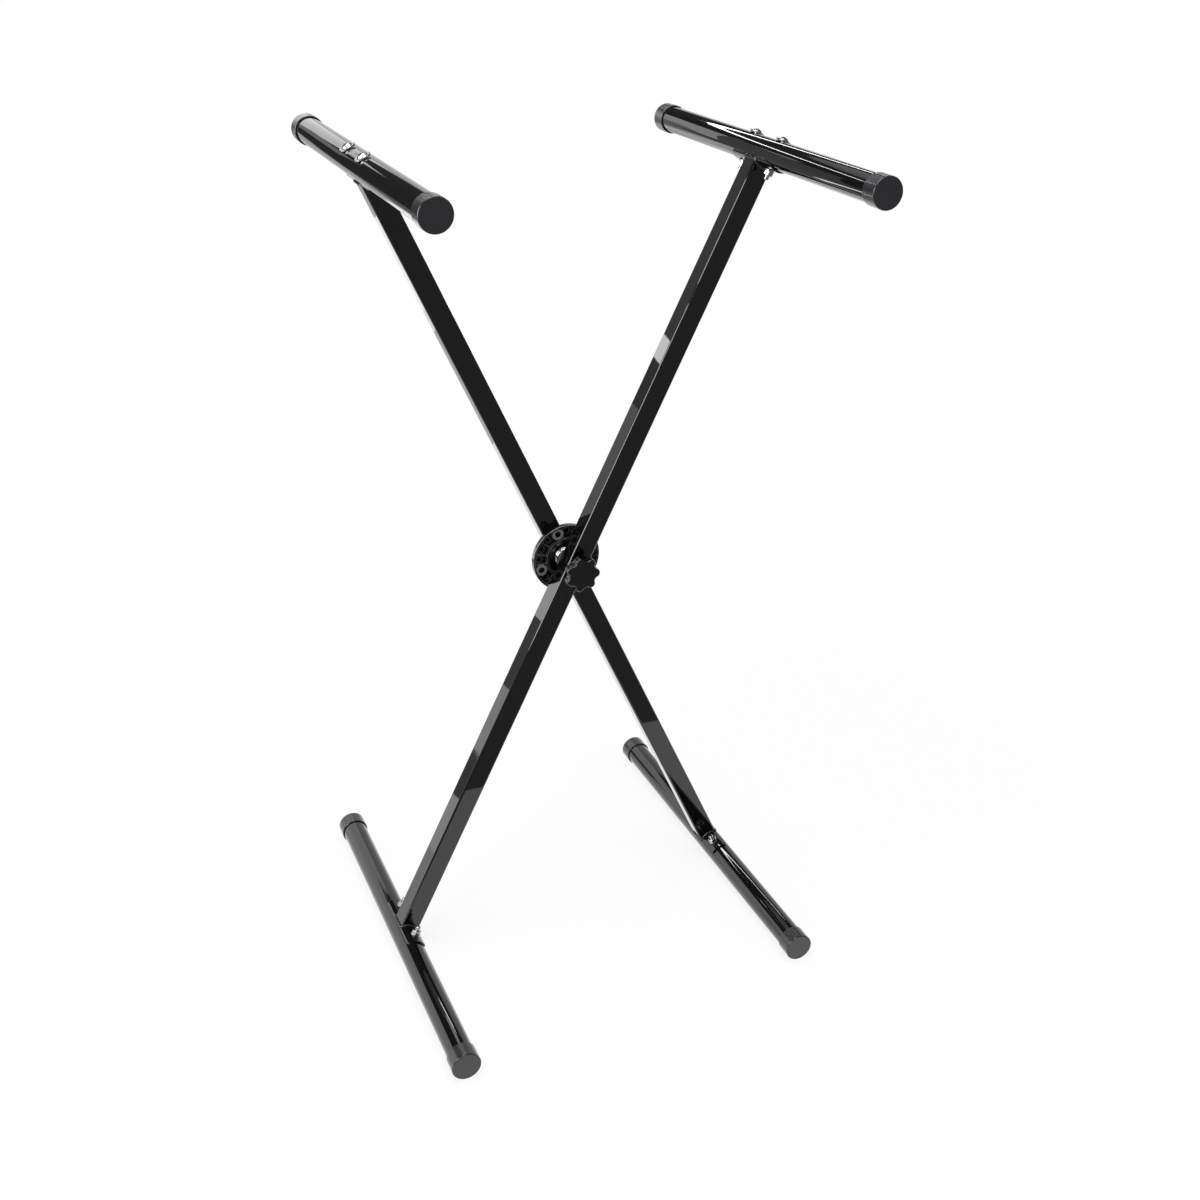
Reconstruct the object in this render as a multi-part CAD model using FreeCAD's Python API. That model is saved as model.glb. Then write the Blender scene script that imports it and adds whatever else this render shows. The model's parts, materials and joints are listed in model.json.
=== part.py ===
import FreeCAD, Part
import math
import os

# Folding keyboard stand of the single-X kind: two crossed square legs that turn on a clamped pivot,
# each with a round support tube on top and the same round tube as a foot below.
# Millimetres. +Z is up, X runs from one foot to the other and Y runs along the round tubes.
# The origin is on the floor, midway between the feet and midway between the two leg planes.

V = FreeCAD.Vector
ACROSS = V(0, 1, 0)     # direction of the pivot bolt and of the round tubes
UP = V(0, 0, 1)         # direction of a leg before it is leaned over
SAME = 1e-6             # two places closer than this are one

# stance and leg planes
HALF_SPREAD_DEG = 25.4      # lean of each leg from the vertical
PIVOT_TO_TUBE = 535.0       # pivot axis to the axis of a round tube
DISC_STANDOFF = 6.5         # front leg's rear face to the disc's rim, with the knob backed off

# square leg tube
LEG_SIDE = 25.0
LEG_WALL = 1.2
LEG_CORNER_R = 2.2

# round tubes and their end caps
TUBE_R = 16.0
TUBE_WALL = 1.2
TUBE_LENGTH = 512.0
CAP_WALL = 1.65
CAP_END = 2.0
CAP_LENGTH = 21.0
CAP_EDGE_R = 1.1
CAP_MOUTH_CHAMFER = 0.5
CAP_GAP = 0.05              # between the tube and the cap's bore

# curved saddle plate at each end of a leg
SADDLE_PLATE = 2.0
SADDLE_WIDTH = 25.0
SADDLE_LENGTH = 92.0
SADDLE_CORNER_R = 3.0
SEAT_GAP = 0.05             # between a saddle and what it is curved to

# M6 bolts that hold the round tubes
BOLT_R = 3.0
BOLT_HOLE_R = 3.2
BOLT_SPACING = 62.0
HEAD_R = 6.0
DOME_HEIGHT = 3.6
FOOT_HEAD_HEIGHT = 1.6      # low head under a foot, clear of the floor
HEAD_WASHER_R = 9.0
NUT_WASHER_R = 6.0
WASHER_T = 1.6
NUT_FLATS = 10.0
NUT_T = 5.0
NUT_CORNER_CUT = 0.6        # how far the chamfer takes the corners down
BOLT_TIP_CHAMFER = 0.6
BOLT_PAST_NUT = 5.0
CROSS_WIDTH = 1.1
CROSS_SPAN = 6.0
CROSS_DEPTH = 1.1

# M8 pivot bolt and what turns or slides on it
PIVOT_R = 4.0
RUNNING_GAP = 0.05
PIVOT_FLATS = 13.0
PIVOT_HEAD_T = 5.3
PIVOT_TIP_CHAMFER = 0.8
PIVOT_WASHER_R = 12.0
SLEEVE_R = 6.5
THRUST_WASHER_R = 12.0
THREAD_DEPTH = 10.0         # thread inside the knob with the knob backed off
THREAD_PITCH = 1.25
CLAMP_TURNS = 4.0
CLAMP_TRAVEL = THREAD_PITCH * CLAMP_TURNS

# locking disc on the rear leg's front face
DISC_R = 43.3
DISC_T = 8.5
DISC_RIM = 2.4
DISC_HUB_RIM = 2.6
DISC_FLOOR_T = 4.6          # thickness under the ring of holes
DISC_WEB_T = 1.6            # thickness under the spring
DISC_EDGE_R = 0.9
DISC_BACK_CHAMFER = 2.0     # on the rim's back edge
LOCK_COUNT = 16
LOCK_HOLE_R = 3.75
HOLE_TO_RIM = 2.55          # floor left between the holes and the rim
HUB_TO_HOLE = 4.85          # floor left between the hub ring and the holes
LOCK_HOLE_SKIN = 1.2        # metal left behind each hole, on the disc's back
PAD_EVERY = 4               # each fourth hole stands on a raised pad
PAD_R = 7.2
PAD_BELOW_RIM = 0.5
RIB_T = 1.6
RIB_BELOW_RIM = 1.3

# locking pins on the front leg
PIN_R = 3.0
PIN_TIP_GAP = 0.5           # pin tips to the disc with the knob backed off
PIN_TIP_CHAMFER = 0.8
PIN_HEAD_R = 5.0
PIN_HEAD_T = 1.5

# spring between the disc and the front leg
SPRING_WIRE_R = 1.0
SPRING_MEAN_R = 13.0
SPRING_QUARTERS = 9         # quarter turns
SPRING_END_GAP = 0.3
SPRING_SEAT_R = 15.5
SPRING_SEAT_T = 1.2

# star knob
KNOB_R = 22.0
KNOB_LOBES = 7
KNOB_LOBE_R = 5.5
KNOB_VALLEY_R = 5.0
KNOB_HEAD_T = 12.0
KNOB_EDGE_R = 2.4
KNOB_NECK_R = 11.5
KNOB_NECK_LENGTH = 9.0
KNOB_FLUTES = 18
KNOB_FLUTE_R = 1.2
KNOB_FLUTE_OUT = 0.4        # flute centres outside the neck
KNOB_ROOM = 2.0             # past the bolt's tip with the knob screwed home
INSERT_R = 7.5
INSERT_LENGTH = 14.0
KNOB_SEAT_GAP = 0.1         # knob to thrust washer

# places that follow from the sizes
CAP_R = TUBE_R + CAP_GAP + CAP_WALL
PIVOT_HEIGHT = PIVOT_TO_TUBE * math.cos(math.radians(HALF_SPREAD_DEG)) + CAP_R
HALF_PLANES = (LEG_SIDE + DISC_T + DISC_STANDOFF) / 2
FRONT_LEG_FRONT = -HALF_PLANES - LEG_SIDE / 2
FRONT_LEG_BACK = -HALF_PLANES + LEG_SIDE / 2
REAR_LEG_FRONT = HALF_PLANES - LEG_SIDE / 2
REAR_LEG_BACK = HALF_PLANES + LEG_SIDE / 2
DISC_FRONT = REAR_LEG_FRONT - DISC_T
SADDLE_IN_R = TUBE_R + SEAT_GAP
SADDLE_OUT_R = SADDLE_IN_R + SADDLE_PLATE
LEG_END_R = SADDLE_OUT_R + SEAT_GAP
THRUST_FRONT = FRONT_LEG_FRONT - WASHER_T
KNOB_BACK = THRUST_FRONT - KNOB_SEAT_GAP
KNOB_HEAD_BACK = KNOB_BACK - KNOB_NECK_LENGTH
KNOB_FRONT = KNOB_HEAD_BACK - KNOB_HEAD_T
PIVOT_BOLT_TIP = KNOB_BACK - THREAD_DEPTH
LOCK_RING_R = DISC_R - DISC_RIM - HOLE_TO_RIM - LOCK_HOLE_R
DISC_HUB_R = LOCK_RING_R - LOCK_HOLE_R - HUB_TO_HOLE
LOCK_STEP_DEG = 360.0 / LOCK_COUNT
FIRST_LOCK_DEG = 90.0 - 2 * HALF_SPREAD_DEG     # the hole that faces the front leg's pin, from +X


def cylinder(radius, start, end, axis=ACROSS):
    """Cylinder about the given axis through the origin, from start to end along it."""
    return Part.makeCylinder(radius, end - start, axis * start, axis)


def ring(outer, inner, start, end, axis=ACROSS):
    """Flat washer or sleeve about the axis, between start and end along it."""
    return cylinder(outer, start, end, axis).cut(cylinder(inner, start, end, axis))


def box(x0, x1, y0, y1, z0, z1):
    """Block between two corners."""
    return Part.makeBox(x1 - x0, y1 - y0, z1 - z0, V(x0, y0, z0))


def rims(shape, place, axis=ACROSS):
    """Circular edges of a shape about an axis through the origin that lie at a place along it."""
    circles = [e for e in shape.Edges if e.Curve.TypeId == "Part::GeomCircle"]
    return [e for e in circles if abs(e.CenterOfMass.dot(axis) - place) < SAME]


def upright(shape):
    """Straight edges of a shape that run along Z."""
    return [e for e in shape.Edges if abs(e.tangentAt(e.FirstParameter).z) > 1 - SAME]


def moved(shape, x=0.0, y=0.0, z=0.0):
    """Copy of the shape, shifted."""
    copy = shape.copy()
    copy.translate(V(x, y, z))
    return copy


def export(shape, node):
    """Writes one node."""
    solids = shape.Solids
    assert solids and all(s.isValid() for s in solids), node
    shape.exportStep("parts/%s.step" % node)
    print("%-30s %d solid(s) %10.1f mm3" % (node, len(solids), shape.Volume))


def stand_up(shape, frame):
    """Takes a shape from its leg's own axes, pivot at the origin and leg along Z, to its place."""
    side = 1 if frame == "front" else -1
    placed = shape.copy()
    placed.rotate(V(0, 0, 0), ACROSS, side * HALF_SPREAD_DEG)
    placed.translate(V(0, -side * HALF_PLANES, PIVOT_HEIGHT))
    return placed


def at_pivot(shape):
    """Lifts a shape that was made about the pivot axis to the pivot's height."""
    return moved(shape, z=PIVOT_HEIGHT)


def square_bar(side, corner_r, half_length):
    """Square bar along Z with rounded corners."""
    half = side / 2
    bar = box(-half, half, -half, half, -half_length, half_length)
    return bar.makeFillet(corner_r, upright(bar))


def leg(frame):
    """Square tube, its ends coped to the saddles, drilled for its sleeve and, in front, its pins."""
    outer = square_bar(LEG_SIDE, LEG_CORNER_R, PIVOT_TO_TUBE)
    inner = square_bar(LEG_SIDE - 2 * LEG_WALL, LEG_CORNER_R - LEG_WALL, PIVOT_TO_TUBE)
    tube = outer.cut(inner)
    reach = LEG_SIDE
    for end in (-1, 1):
        tube = tube.cut(moved(cylinder(LEG_END_R, -reach, reach), z=end * PIVOT_TO_TUBE))
    tube = tube.cut(cylinder(SLEEVE_R, -reach, reach))
    if frame == "front":
        for end in (-1, 1):
            tube = tube.cut(moved(cylinder(PIN_R, 0, reach), z=end * LOCK_RING_R))
    return tube


def saddle():
    """Strip curved to the round tube, at the upper end of a leg, with a hole for each bolt."""
    half = SADDLE_LENGTH / 2
    shell = moved(ring(SADDLE_OUT_R, SADDLE_IN_R, -half, half), z=PIVOT_TO_TUBE)
    wide = SADDLE_WIDTH / 2
    blank = box(-wide, wide, -half, half, PIVOT_TO_TUBE - 2 * SADDLE_OUT_R, PIVOT_TO_TUBE)
    return shell.common(blank.makeFillet(SADDLE_CORNER_R, upright(blank))).cut(bolt_holes())


def bolt_holes():
    """The two holes through a round tube and its saddle, along the leg."""
    reach = 2 * SADDLE_OUT_R
    return pair(cylinder(BOLT_HOLE_R, PIVOT_TO_TUBE - reach, PIVOT_TO_TUBE + reach, UP))


def round_tube():
    """Support or foot tube at the upper end of a leg."""
    half = TUBE_LENGTH / 2
    tube = moved(ring(TUBE_R, TUBE_R - TUBE_WALL, -half, half), z=PIVOT_TO_TUBE)
    return tube.cut(bolt_holes())


def end_cap(side):
    """Slip-over cap on one end of a round tube: side is -1 for the front end and 1 for the back."""
    outside = TUBE_LENGTH / 2 + CAP_END
    mouth = outside - CAP_LENGTH
    blank = cylinder(CAP_R, mouth, outside)
    blank = blank.makeFillet(CAP_EDGE_R, rims(blank, outside))
    blank = blank.makeChamfer(CAP_MOUTH_CHAMFER, rims(blank, mouth))
    cap = blank.cut(cylinder(TUBE_R + CAP_GAP, mouth, outside - CAP_END))
    if side < 0:
        cap = cap.mirror(V(0, 0, 0), ACROSS)
    return moved(cap, z=PIVOT_TO_TUBE)


def cross_recess(top):
    """Cross-shaped driver recess whose mouth is at the given height."""
    arm = CROSS_SPAN / 2
    half = CROSS_WIDTH / 2
    floor = top - CROSS_DEPTH
    clear = top + CROSS_DEPTH
    return box(-arm, arm, -half, half, floor, clear).fuse(box(-half, half, -arm, arm, floor, clear))


def domed_head(height, seat):
    """Head shaped as a slice of a ball, with a cross recess, standing on the plane at seat."""
    ball_r = (HEAD_R ** 2 + height ** 2) / (2 * height)
    ball = Part.makeSphere(ball_r, V(0, 0, seat + height - ball_r))
    head = ball.common(cylinder(2 * HEAD_R, seat, seat + 2 * height, UP))
    return head.cut(cross_recess(seat + height))


def tube_bolt(head_height, washer):
    """Bolt through a round tube and its saddle, along the leg, with its head on the outer side."""
    seat = PIVOT_TO_TUBE + TUBE_R + washer
    tip = nut_seat() - NUT_T - BOLT_PAST_NUT
    shank = cylinder(BOLT_R, tip, seat, UP)
    shank = shank.makeChamfer(BOLT_TIP_CHAMFER, rims(shank, tip, UP))
    return shank.fuse(domed_head(head_height, seat)).removeSplitter()


def nut_seat():
    """Height along the leg of the nut's face: under the saddle and a washer."""
    return PIVOT_TO_TUBE - SADDLE_OUT_R - WASHER_T


def hexagon(flats, start, end, axis):
    """Six-sided bar about the axis with its corners chamfered at both ends."""
    corner = flats / math.sqrt(3)
    height = end - start
    turns = [math.radians(60 * i) for i in range(7)]
    bar = Part.Face(Part.makePolygon([V(corner * math.cos(a), corner * math.sin(a), 0) for a in turns]))
    bar = bar.extrude(UP * height)
    narrow = flats / 2
    wide = narrow + height * (corner - narrow) / NUT_CORNER_CUT
    for bottom, top in ((narrow, wide), (wide, narrow)):
        bar = bar.common(Part.makeCone(bottom, top, height))
    bar.translate(UP * start)
    if axis == ACROSS:
        bar.rotate(V(0, 0, 0), V(1, 0, 0), -90)
    return bar


def pair(shape):
    """The same piece at both bolts of a round tube."""
    return Part.makeCompound([moved(shape, y=side * BOLT_SPACING / 2) for side in (-1, 1)])


def lower(shape):
    """Turns an upper end's piece over to the lower end of the leg."""
    turned = shape.copy()
    turned.rotate(V(0, 0, 0), ACROSS, 180)
    return turned


def tube_end(frame, end):
    """Writes the saddle, round tube, caps and fasteners at one end of a leg."""
    is_foot = end == "foot"
    pieces = {
        "saddle": saddle(),
        "tube": round_tube(),
        "cap_front": end_cap(-1),
        "cap_back": end_cap(1),
        "nuts": pair(nut()),
        "nut_washers": pair(ring(NUT_WASHER_R, BOLT_HOLE_R, nut_seat(), nut_seat() + WASHER_T, UP)),
    }
    if is_foot:
        pieces["bolts"] = pair(tube_bolt(FOOT_HEAD_HEIGHT, 0.0))
    else:
        seat = PIVOT_TO_TUBE + TUBE_R
        pieces["bolts"] = pair(tube_bolt(DOME_HEIGHT, WASHER_T))
        pieces["head_washers"] = pair(ring(HEAD_WASHER_R, BOLT_HOLE_R, seat, seat + WASHER_T, UP))
    for name, shape in pieces.items():
        local = lower(shape) if is_foot else shape
        export(stand_up(local, frame), "%s_%s_%s" % (frame, end, name))


def nut():
    """Hex nut on the leg side of the saddle."""
    seat = nut_seat()
    return hexagon(NUT_FLATS, seat - NUT_T, seat, UP).cut(cylinder(BOLT_R, seat - NUT_T, seat, UP))


def lock_angles():
    """Angle of every locking hole from the leg's own X axis, with whether it stands on a pad."""
    for i in range(LOCK_COUNT):
        yield FIRST_LOCK_DEG + i * LOCK_STEP_DEG, i % PAD_EVERY == 2


def on_ring(shape, angle_deg):
    """Moves a shape made about the disc's axis out to the ring of holes."""
    a = math.radians(angle_deg)
    return moved(shape, x=LOCK_RING_R * math.cos(a), z=LOCK_RING_R * math.sin(a))


def locking_disc():
    """Disc with a rim, a ring of blind holes, four raised pads, short ribs and a central recess."""
    back = REAR_LEG_FRONT
    floor = back - DISC_FLOOR_T
    disc = cylinder(DISC_R, DISC_FRONT, back)
    disc = disc.cut(ring(DISC_R - DISC_RIM, DISC_HUB_R, DISC_FRONT, floor))
    disc = disc.cut(cylinder(DISC_HUB_R - DISC_HUB_RIM, DISC_FRONT, back - DISC_WEB_T))
    between = ring(DISC_R - DISC_RIM / 2, DISC_HUB_R - DISC_HUB_RIM / 2, DISC_FRONT, back)
    pad_top = DISC_FRONT + PAD_BELOW_RIM
    rib_top = DISC_FRONT + RIB_BELOW_RIM
    for angle, padded in lock_angles():
        if padded:
            disc = disc.fuse(on_ring(cylinder(PAD_R, pad_top, floor), angle).common(between))
        else:
            inner, outer = DISC_HUB_R - DISC_HUB_RIM / 2, DISC_R - DISC_RIM / 2
            rib = box(inner, outer, rib_top, floor, -RIB_T / 2, RIB_T / 2)
            rib.rotate(V(0, 0, 0), ACROSS, -(angle + LOCK_STEP_DEG / 2))
            disc = disc.fuse(rib)
    for angle, _ in lock_angles():
        disc = disc.cut(on_ring(cylinder(LOCK_HOLE_R, DISC_FRONT, back - LOCK_HOLE_SKIN), angle))
    disc = disc.cut(cylinder(PIVOT_R + RUNNING_GAP, DISC_FRONT, back)).removeSplitter()
    disc = disc.makeChamfer(DISC_BACK_CHAMFER, outer_rim(disc, back))
    return disc.makeFillet(DISC_EDGE_R, outer_rim(disc, DISC_FRONT))


def outer_rim(disc, place):
    """The locking disc's outermost edge at a place along its axis."""
    return [e for e in rims(disc, place) if abs(e.Curve.Radius - DISC_R) < SAME]


def locking_pin():
    """Pin riveted through the front leg's rear wall, with its tip towards the disc."""
    tip = DISC_FRONT - PIN_TIP_GAP
    inside = FRONT_LEG_BACK - LEG_WALL
    pin = cylinder(PIN_R, inside, tip)
    pin = pin.makeChamfer(PIN_TIP_CHAMFER, rims(pin, tip))
    head = cylinder(PIN_HEAD_R, inside - PIN_HEAD_T, inside)
    return pin.fuse(head).removeSplitter()


def locking_pins():
    """Both pins, in the front leg's own axes."""
    pin = moved(locking_pin(), y=HALF_PLANES)
    return Part.makeCompound([moved(pin, z=s * LOCK_RING_R) for s in (-1, 1)])


def biarc(p0, t0, p1, t1):
    """Two arcs that leave p0 along t0 and reach p1 along t1, as edges."""
    chord = p1 - p0
    both = t0 + t1
    a = both.dot(both) - 4
    b = -2 * chord.dot(both)
    c = chord.dot(chord)
    reach = (-b - math.sqrt(b * b - 4 * a * c)) / (2 * a)
    q0 = p0 + t0 * reach
    q1 = p1 - t1 * reach
    joint = (q0 + q1) * 0.5
    return [Part.Arc(s, arc_middle(s, q, e), e).toShape() for s, q, e in ((p0, q0, joint), (joint, q1, p1))]


def arc_middle(start, corner, end):
    """Middle of the arc that is tangent to start-corner at start and to corner-end at end."""
    mid = (start + end) * 0.5
    half = (start - mid).Length
    rise = corner - mid
    slope = math.atan2(rise.Length, half)
    return mid + rise * (half * math.tan(slope / 2) / rise.Length)


def helix_point(quarter, pitch, start):
    """Point of the spring's centreline after so many quarter turns, with its direction."""
    a = quarter * math.pi / 2
    climb = pitch / (2 * math.pi)
    point = V(SPRING_MEAN_R * math.cos(a), start + climb * a, SPRING_MEAN_R * math.sin(a))
    along = V(-SPRING_MEAN_R * math.sin(a), climb, SPRING_MEAN_R * math.cos(a))
    return point, along.normalize()


def pivot_spring():
    """Open coil spring between its seat washer and the floor of the disc's recess."""
    near = FRONT_LEG_BACK + SPRING_SEAT_T + SPRING_END_GAP + SPRING_WIRE_R
    far = REAR_LEG_FRONT - DISC_WEB_T - SPRING_END_GAP - SPRING_WIRE_R
    lead = 2 * SPRING_WIRE_R
    turns = SPRING_QUARTERS / 4
    circle = 2 * math.pi * SPRING_MEAN_R
    pitch = (far - near) / (turns + 2 * lead / circle)
    start = near + lead * pitch / circle
    stops = [helix_point(q, pitch, start) for q in range(SPRING_QUARTERS + 1)]
    edges = []
    for (p0, t0), (p1, t1) in zip(stops, stops[1:]):
        edges += biarc(p0, t0, p1, t1)
    first, last = stops[0], stops[-1]
    tail = first[0] - first[1] * lead
    edges = [Part.makeLine(tail, first[0])] + edges + [Part.makeLine(last[0], last[0] + last[1] * lead)]
    path = Part.Wire(edges)
    section = Part.Wire(Part.makeCircle(SPRING_WIRE_R, tail, first[1]))
    shell = Part.BRepOffsetAPI.MakePipeShell(path)
    shell.add(section)
    shell.build()
    shell.makeSolid()
    spring = Part.Solid(shell.shape())
    report_spring(spring, path, pitch)
    return spring


def report_spring(spring, path, pitch):
    """Prints the spring's least gap to itself, measured between points of its centreline."""
    points = path.discretize(Number=int(path.Length * 2))
    step = path.Length / (len(points) - 1)
    apart = int(math.pi * SPRING_MEAN_R / step)
    pairs = ((p, q) for i, p in enumerate(points) for q in points[i + apart:])
    least = min((p - q).Length for p, q in pairs)
    print("spring: pitch %.2f, least gap to itself %.2f mm" % (pitch, least - 2 * SPRING_WIRE_R))
    even = math.pi * SPRING_WIRE_R ** 2 * path.Length
    print("spring: volume %.1f mm3, section times length %.1f mm3" % (spring.Volume, even))


def pivot_bolt():
    """Hex bolt from behind the rear leg to inside the knob."""
    seat = REAR_LEG_BACK + WASHER_T
    shank = cylinder(PIVOT_R, PIVOT_BOLT_TIP, seat)
    shank = shank.makeChamfer(PIVOT_TIP_CHAMFER, rims(shank, PIVOT_BOLT_TIP))
    return shank.fuse(hexagon(PIVOT_FLATS, seat, seat + PIVOT_HEAD_T, ACROSS)).removeSplitter()


def star_outline():
    """Closed wire in the XZ plane: round lobes joined by round valleys, all tangent."""
    lobe_at = KNOB_R - KNOB_LOBE_R
    half_step = math.pi / KNOB_LOBES
    together = KNOB_LOBE_R + KNOB_VALLEY_R
    b = lobe_at * math.cos(half_step)
    valley_at = b + math.sqrt(b * b - lobe_at ** 2 + together ** 2)
    edges = []
    for i in range(KNOB_LOBES):
        a = 2 * half_step * i
        lobe = polar(lobe_at, a)
        before = polar(valley_at, a - half_step)
        after = polar(valley_at, a + half_step)
        beyond = polar(lobe_at, a + 2 * half_step)
        edges.append(Part.Arc(touch(lobe, before), polar(KNOB_R, a), touch(lobe, after)).toShape())
        inner = polar(valley_at - KNOB_VALLEY_R, a + half_step)
        edges.append(Part.Arc(touch(lobe, after), inner, touch(beyond, after)).toShape())
    return Part.Wire(edges)


def polar(radius, angle):
    """Point in the XZ plane."""
    return V(radius * math.cos(angle), 0, radius * math.sin(angle))


def touch(lobe, valley):
    """Where a lobe's circle touches a valley's circle."""
    return lobe + (valley - lobe).normalize() * KNOB_LOBE_R


def knob():
    """Star knob with a fluted neck and a blind hole for its insert and the bolt's tip."""
    head = Part.Face(star_outline()).extrude(ACROSS * KNOB_HEAD_T)
    head = moved(head, y=KNOB_FRONT)
    outline = [e for e in head.Edges if abs(e.Vertexes[0].Y - e.Vertexes[-1].Y) < SAME]
    head = head.makeFillet(KNOB_EDGE_R, outline)
    neck = cylinder(KNOB_NECK_R, KNOB_HEAD_BACK - KNOB_EDGE_R, KNOB_BACK)
    for i in range(KNOB_FLUTES):
        centre = polar(KNOB_NECK_R + KNOB_FLUTE_OUT, 2 * math.pi * i / KNOB_FLUTES)
        flute = cylinder(KNOB_FLUTE_R, KNOB_HEAD_BACK, KNOB_BACK)
        neck = neck.cut(moved(flute, x=centre.x, z=centre.z))
    body = head.fuse(neck)
    body = body.cut(cylinder(INSERT_R, KNOB_BACK - INSERT_LENGTH, KNOB_BACK))
    hole_end = PIVOT_BOLT_TIP - CLAMP_TRAVEL - KNOB_ROOM
    return body.cut(cylinder(PIVOT_R + RUNNING_GAP, hole_end, KNOB_BACK)).removeSplitter()


def build():
    """Writes every node."""
    os.makedirs("parts", exist_ok=True)
    for frame in ("front", "rear"):
        export(stand_up(leg(frame), frame), frame + "_leg")
        for end in ("support", "foot"):
            tube_end(frame, end)
    bore = PIVOT_R + RUNNING_GAP
    export(stand_up(moved(locking_disc(), y=-HALF_PLANES), "rear"), "locking_disc")
    export(stand_up(locking_pins(), "front"), "locking_pins")
    export(at_pivot(ring(SLEEVE_R, bore, REAR_LEG_FRONT, REAR_LEG_BACK)), "rear_leg_sleeve")
    export(at_pivot(ring(SLEEVE_R, bore, FRONT_LEG_FRONT, FRONT_LEG_BACK)), "front_leg_sleeve")
    export(at_pivot(pivot_bolt()), "pivot_bolt")
    export(at_pivot(ring(PIVOT_WASHER_R, bore, REAR_LEG_BACK, REAR_LEG_BACK + WASHER_T)), "pivot_bolt_washer")
    export(at_pivot(pivot_spring()), "pivot_spring")
    seat_end = FRONT_LEG_BACK + SPRING_SEAT_T
    export(at_pivot(ring(SPRING_SEAT_R, bore, FRONT_LEG_BACK, seat_end)), "spring_seat_washer")
    export(at_pivot(ring(THRUST_WASHER_R, bore, THRUST_FRONT, FRONT_LEG_FRONT)), "thrust_washer")
    export(at_pivot(knob()), "knob")
    export(at_pivot(ring(INSERT_R, bore, KNOB_BACK - INSERT_LENGTH, KNOB_BACK)), "knob_insert")


build()
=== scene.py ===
"""Dresses the folding keyboard stand: finishes, weld beads, clamp spring and a plain pale studio."""

import json
import math
import random

import bmesh
import bpy
from mathutils import Matrix, Vector

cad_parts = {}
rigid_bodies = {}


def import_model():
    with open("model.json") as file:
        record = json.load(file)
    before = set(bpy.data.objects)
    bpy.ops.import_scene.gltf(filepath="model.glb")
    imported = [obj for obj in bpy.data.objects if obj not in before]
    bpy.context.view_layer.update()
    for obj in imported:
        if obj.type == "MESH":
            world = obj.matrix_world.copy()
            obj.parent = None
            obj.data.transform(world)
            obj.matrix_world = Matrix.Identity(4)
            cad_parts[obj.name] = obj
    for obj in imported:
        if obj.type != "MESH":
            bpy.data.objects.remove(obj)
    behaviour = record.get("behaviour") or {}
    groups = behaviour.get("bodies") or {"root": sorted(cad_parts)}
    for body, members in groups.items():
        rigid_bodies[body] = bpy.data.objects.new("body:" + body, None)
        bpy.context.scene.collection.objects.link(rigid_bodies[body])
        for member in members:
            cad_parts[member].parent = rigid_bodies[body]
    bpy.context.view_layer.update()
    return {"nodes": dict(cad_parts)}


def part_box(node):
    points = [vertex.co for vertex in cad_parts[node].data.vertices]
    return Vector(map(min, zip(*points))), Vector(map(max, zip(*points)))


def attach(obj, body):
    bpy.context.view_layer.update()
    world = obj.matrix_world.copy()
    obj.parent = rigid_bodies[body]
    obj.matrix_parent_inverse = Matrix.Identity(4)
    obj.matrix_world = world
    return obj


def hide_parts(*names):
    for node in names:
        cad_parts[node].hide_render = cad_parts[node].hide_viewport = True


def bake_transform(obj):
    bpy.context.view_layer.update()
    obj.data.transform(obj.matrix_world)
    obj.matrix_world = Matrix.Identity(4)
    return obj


bl_info = {
    "name": "Folding keyboard stand",
    "version": (1, 0, 0),
    "blender": (4, 5, 0),
    "location": "3D View > Sidebar > Stand",
    "description": "Finishes, welds, clamp spring and studio for a single-X keyboard stand",
    "category": "Object",
}

for leftover in list(bpy.data.objects):
    bpy.data.objects.remove(leftover)

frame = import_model()

MM = 0.001
FRAMES = {"front": "front_frame", "rear": "rear_frame"}     # the body that carries each frame's pieces
ENDS = {"support": 1, "foot": -1}                           # way along the leg from the pivot

# sizes of the steel that the added pieces sit on, in millimetres
SADDLE_OUT_R = 18.05
LEG_CORNER_R = 2.2
PAD_BELOW_RIM = 0.5
TUBE_WALL = 1.2

# what the finishes share
PLASTIC_IOR = 1.5           # also of cured powder coat
NYLON_IOR = 1.45
METAL_IOR = 1.5             # the shader's own default
NOISE_LOW, NOISE_HIGH = 0.3, 0.7    # between these lies nearly all of a noise texture
EDGE_SAMPLES = 6


# ---------------------------------------------------------------- colours and shader nodes

def linear(hex_code):
    """Linear RGBA of an sRGB hex value."""
    channels = [int(hex_code[i:i + 2], 16) / 255 for i in (0, 2, 4)]
    return tuple(c / 12.92 if c <= 0.04045 else ((c + 0.055) / 1.055) ** 2.4 for c in channels) + (1.0,)


def opaque(colour):
    """RGBA of a colour setting."""
    return tuple(colour) + (1.0,)


def add_node(tree, kind, settings=None, values=None, links=None):
    """One shader node with its settings, the constants on its sockets and its incoming links."""
    node = tree.nodes.new(kind)
    for name, value in (settings or {}).items():
        setattr(node, name, value)
    for socket, value in (values or {}).items():
        node.inputs[socket].default_value = value
    for socket, source in (links or {}).items():
        tree.links.new(source, node.inputs[socket])
    return node


def new_material(name):
    """Empty node material with its output, and the tree to build in."""
    material = bpy.data.materials.new(name)
    material.use_nodes = True
    tree = material.node_tree
    tree.nodes.clear()
    output = add_node(tree, "ShaderNodeOutputMaterial")
    return material, tree, output


def per_metre(size_mm):
    """Scale of a noise texture whose features measure size_mm."""
    return 1 / (size_mm * MM)


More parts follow.
